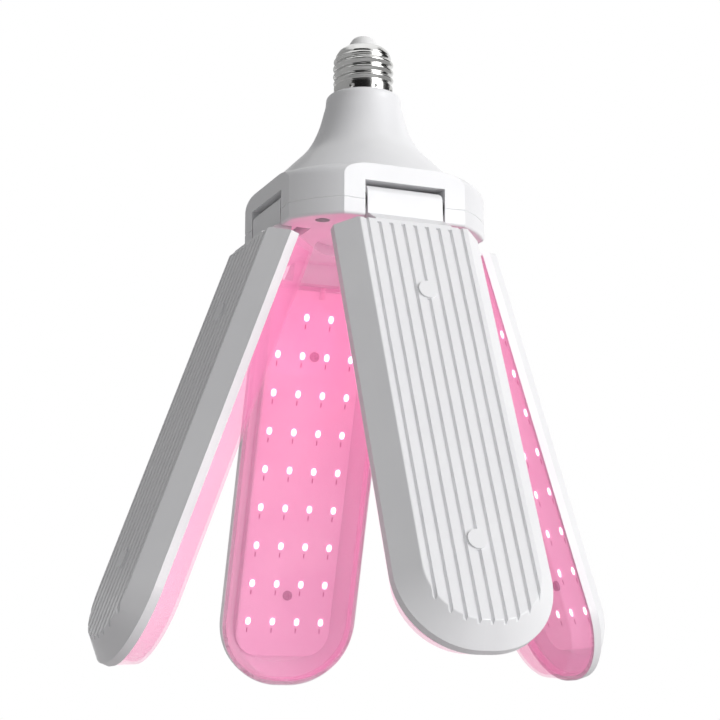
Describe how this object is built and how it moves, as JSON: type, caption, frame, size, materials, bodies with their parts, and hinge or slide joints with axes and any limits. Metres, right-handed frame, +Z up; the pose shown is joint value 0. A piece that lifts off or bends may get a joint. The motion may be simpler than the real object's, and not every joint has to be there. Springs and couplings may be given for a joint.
{
  "type": "folding LED bulb",
  "caption": "Screw-cap LED grow bulb with a bell-shaped hub and ribbed white light panels with clear lenses that fold on friction hinges.",
  "frame": {"origin": "on the bulb's axis, at the lower edge of the screw cap, where the metal skirt meets the white neck", "axes": "+Z up along the bulb's axis towards the screw cap's contact; the front panel faces -Y and the right panel +X"},
  "size_m": [0.2177, 0.2201, 0.2771],
  "materials": {
    "nickel_cap": "bright nickel plate on thin rolled sheet",
    "insulator_white": "white moulded insulator, satin",
    "contact_metal": "nickel-plated contact, lightly brushed",
    "white_plastic": "white polycarbonate, smooth satin",
    "screw_steel": "zinc-plated steel",
    "pin_steel": "drawn steel tube",
    "circuit_board": "glass-epoxy board with solder mask",
    "capacitor_sleeve": "shrink sleeve over a can",
    "component_black": "moulded epoxy",
    "film_capacitor_yellow": "moulded box",
    "ferrite": "sintered ferrite, matt",
    "copper_wire": "enamelled copper wire",
    "resistor_body": "lacquered body",
    "lead_insulation": "soft vinyl insulation",
    "light_board": "aluminium board under white solder mask",
    "lamp": "lit LED window, pinkish white",
    "clear_lens": "clear polycarbonate, lit pink from inside",
    "washer_rubber": "friction washer"
  },
  "bodies": {
    "head": {"screw_shell": "nickel_cap", "cap_insulator": "insulator_white", "centre_contact": "contact_metal", "upper_housing": "white_plastic", "hub_cover": "white_plastic", "hub_screws": "screw_steel", "driver_board": "circuit_board", "driver_screws": "screw_steel", "input_capacitor": "capacitor_sleeve", "output_capacitor": "capacitor_sleeve", "bridge_rectifier": "component_black", "driver_chip": "component_black", "film_capacitor": "film_capacitor_yellow", "inductor_core": "ferrite", "inductor_winding": "copper_wire", "fusible_resistor": "resistor_body", "live_lead": "lead_insulation", "neutral_lead": "lead_insulation", "hub_lead_front": "lead_insulation", "hub_lead_right": "lead_insulation", "hub_lead_rear": "lead_insulation", "hub_lead_left": "lead_insulation"},
    "panel_front": {"panel_housing_front": "white_plastic", "light_board_front": "light_board", "lamps_front": "lamp", "lens_front": "clear_lens", "board_screws_front": "screw_steel", "hinge_pins_front": "pin_steel", "friction_washers_front": "washer_rubber", "panel_lead_front": "lead_insulation"},
    "panel_right": {"panel_housing_right": "white_plastic", "light_board_right": "light_board", "lamps_right": "lamp", "lens_right": "clear_lens", "board_screws_right": "screw_steel", "hinge_pins_right": "pin_steel", "friction_washers_right": "washer_rubber", "panel_lead_right": "lead_insulation"},
    "panel_rear": {"panel_housing_rear": "white_plastic", "light_board_rear": "light_board", "lamps_rear": "lamp", "lens_rear": "clear_lens", "board_screws_rear": "screw_steel", "hinge_pins_rear": "pin_steel", "friction_washers_rear": "washer_rubber", "panel_lead_rear": "lead_insulation"},
    "panel_left": {"panel_housing_left": "white_plastic", "light_board_left": "light_board", "lamps_left": "lamp", "lens_left": "clear_lens", "board_screws_left": "screw_steel", "hinge_pins_left": "pin_steel", "friction_washers_left": "washer_rubber", "panel_lead_left": "lead_insulation"}
  },
  "joints": [
    {"name": "front_panel_hinge", "type": "hinge", "parent": "head", "child": "panel_front", "pos_m": [0, -0.038, -0.05994], "axis": [-1, 0, 0], "range_deg": [-19.7, 68.3]},
    {"name": "right_panel_hinge", "type": "hinge", "parent": "head", "child": "panel_right", "pos_m": [0.038, 0, -0.05994], "axis": [0, -1, 0], "range_deg": [-15.7, 72.3]},
    {"name": "rear_panel_hinge", "type": "hinge", "parent": "head", "child": "panel_rear", "pos_m": [0, 0.038, -0.05994], "axis": [1, 0, 0], "range_deg": [-15.2, 72.8]},
    {"name": "left_panel_hinge", "type": "hinge", "parent": "head", "child": "panel_left", "pos_m": [-0.038, 0, -0.05994], "axis": [0, 1, 0], "range_deg": [-18.4, 69.6]}
  ]
}
